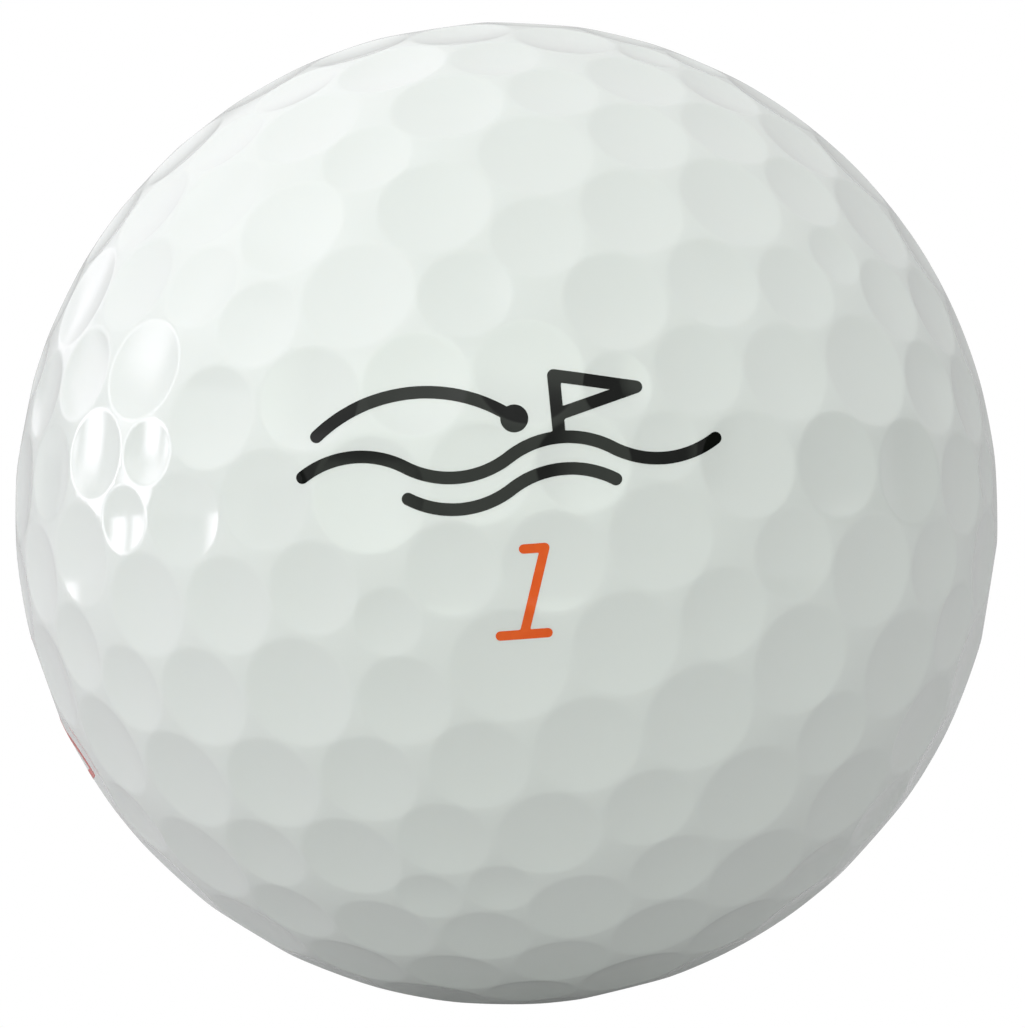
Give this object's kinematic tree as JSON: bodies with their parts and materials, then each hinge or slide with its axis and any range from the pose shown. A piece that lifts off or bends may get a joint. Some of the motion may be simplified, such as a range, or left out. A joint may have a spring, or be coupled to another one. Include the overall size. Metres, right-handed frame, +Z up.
{
  "type": "golf ball",
  "caption": "Dimpled white golf ball with a rubber core, hard plastic cover, clear coat and printed marks, for play, practice or display.",
  "frame": {"origin": "centre of the ball", "axes": "-Y through the printed front pole, +Y through the printed back pole, +Z up as the front prints read, X to their right"},
  "size_m": [0.0426, 0.0426, 0.0426],
  "materials": {
    "core_rubber": "matte, moulded and ground, finely speckled",
    "cover_ionomer": "smooth moulded ionomer, slightly translucent white",
    "clear_coat": "high-gloss clear coat",
    "dark_ink": "pad-printed ink under clear coat",
    "orange_ink": "pad-printed ink under clear coat",
    "red_ink": "pad-printed ink under clear coat"
  },
  "bodies": {
    "root": {"core": "core_rubber", "cover": "cover_ionomer", "clear_coat": "clear_coat", "maker_mark_front": "dark_ink", "maker_mark_back": "dark_ink", "play_number_front": "orange_ink", "play_number_back": "orange_ink", "side_stamp_left": "red_ink", "side_stamp_right": "red_ink"}
  },
  "joints": []
}
